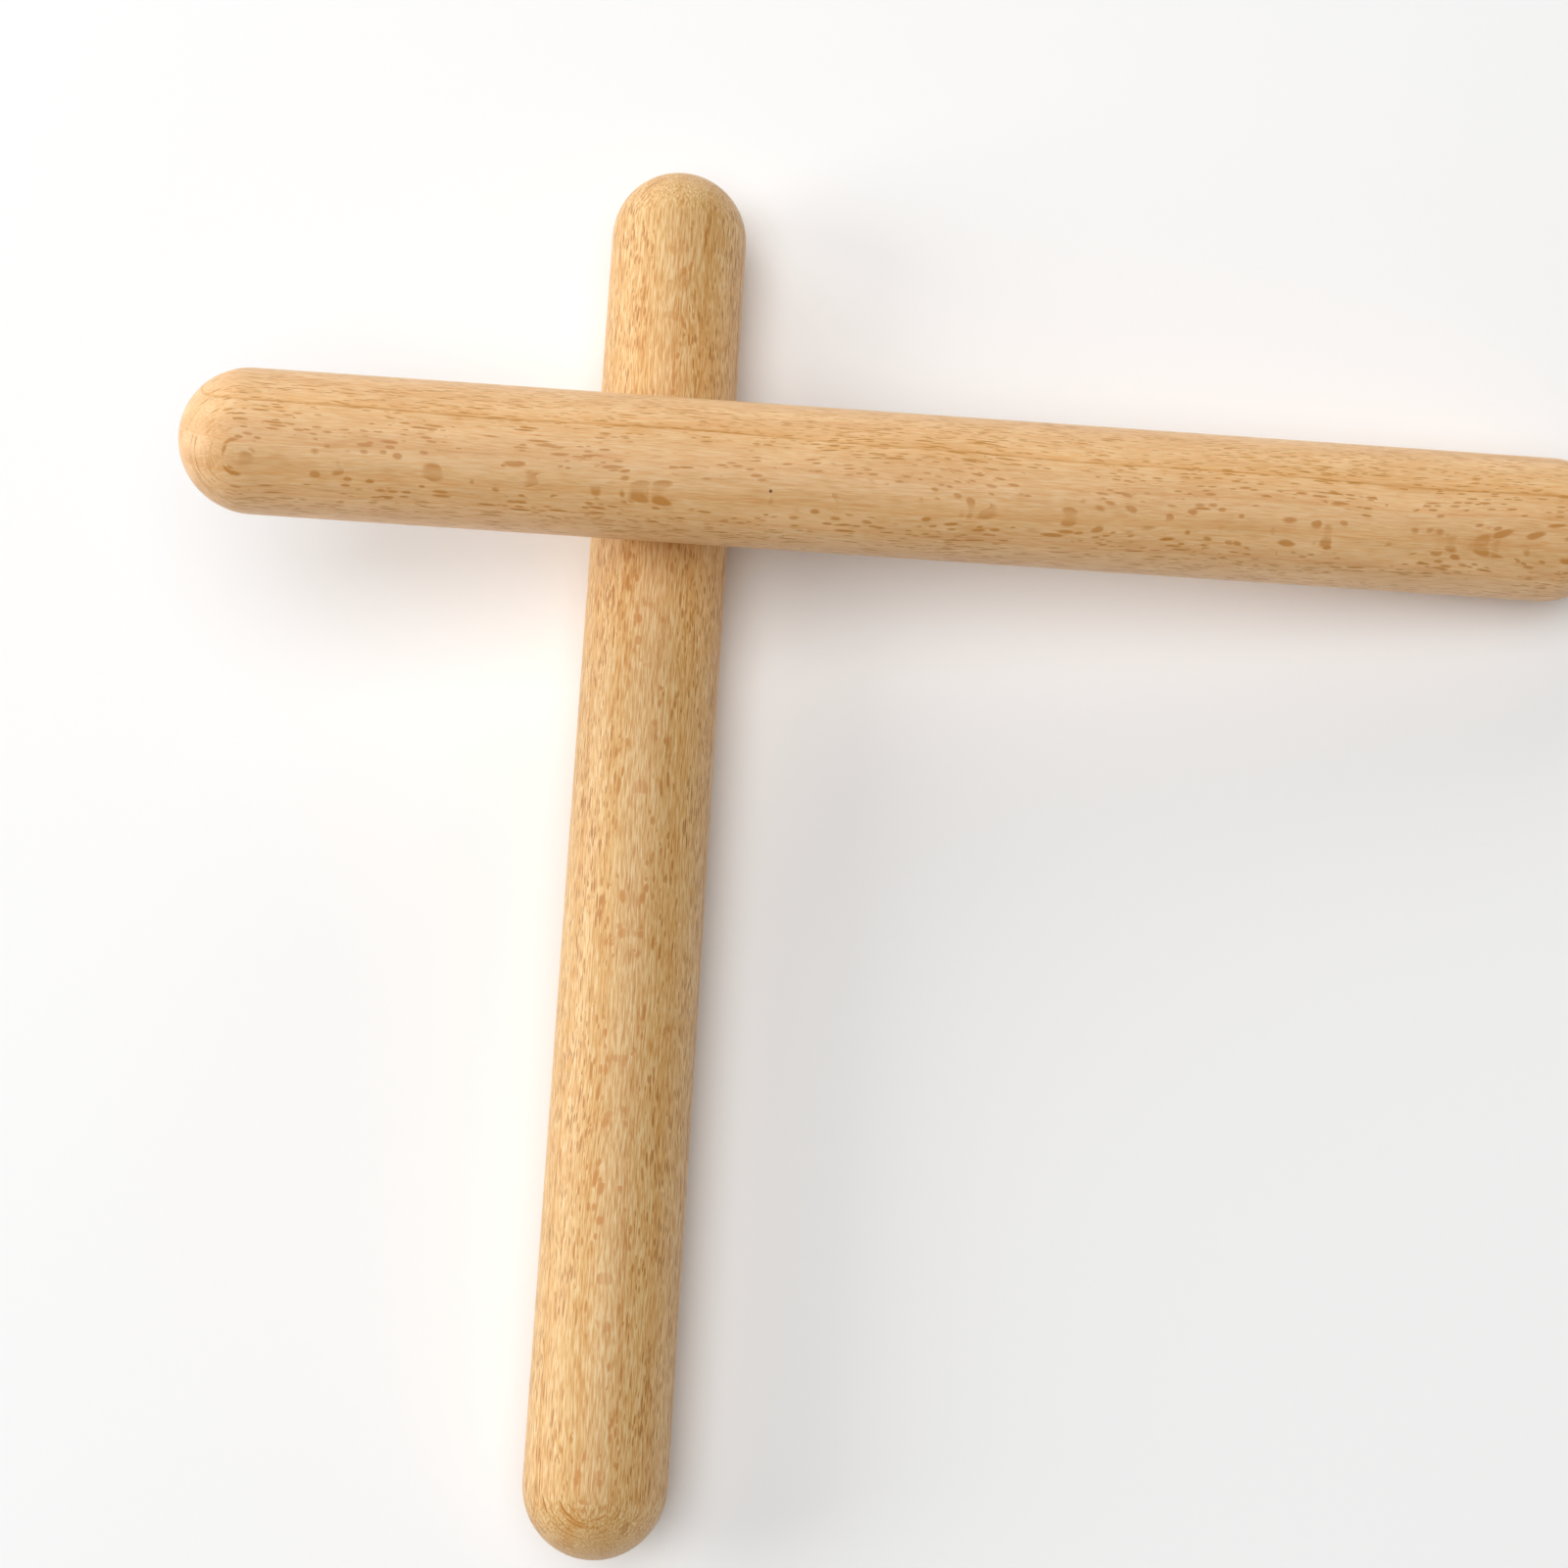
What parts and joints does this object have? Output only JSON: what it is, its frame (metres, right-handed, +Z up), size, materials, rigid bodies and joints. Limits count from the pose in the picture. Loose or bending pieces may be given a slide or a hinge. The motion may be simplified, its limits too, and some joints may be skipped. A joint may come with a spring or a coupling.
{
  "type": "claves",
  "caption": "Solid turned beech claves with half-round ends, laid crossed; the upper stick tips up about its grip end and falls back to strike the lower one.",
  "frame": {"origin": "on the surface the pair lies on, under the middle of the pair's bounding box", "axes": "+Z up; +Y along the resting clave, from its grip end to the tip the other clave strikes near; +X along the striking clave, seen from above, from its tip to its grip end"},
  "size_m": [0.1976, 0.2, 0.0491],
  "materials": {
    "striking_beech": "beech, turned and sanded, clear satin lacquer",
    "resting_beech": "beech, turned and sanded, clear satin lacquer"
  },
  "bodies": {
    "resting_clave": {"resting_clave": "resting_beech"},
    "striking_clave": {"striking_clave": "striking_beech"}
  },
  "joints": [
    {"name": "strike_swing", "type": "hinge", "parent": "resting_clave", "child": "striking_clave", "pos_m": [0.08882, 0.0486, 0.01], "axis": [0, 1, 0], "range_deg": [0, 45]}
  ]
}
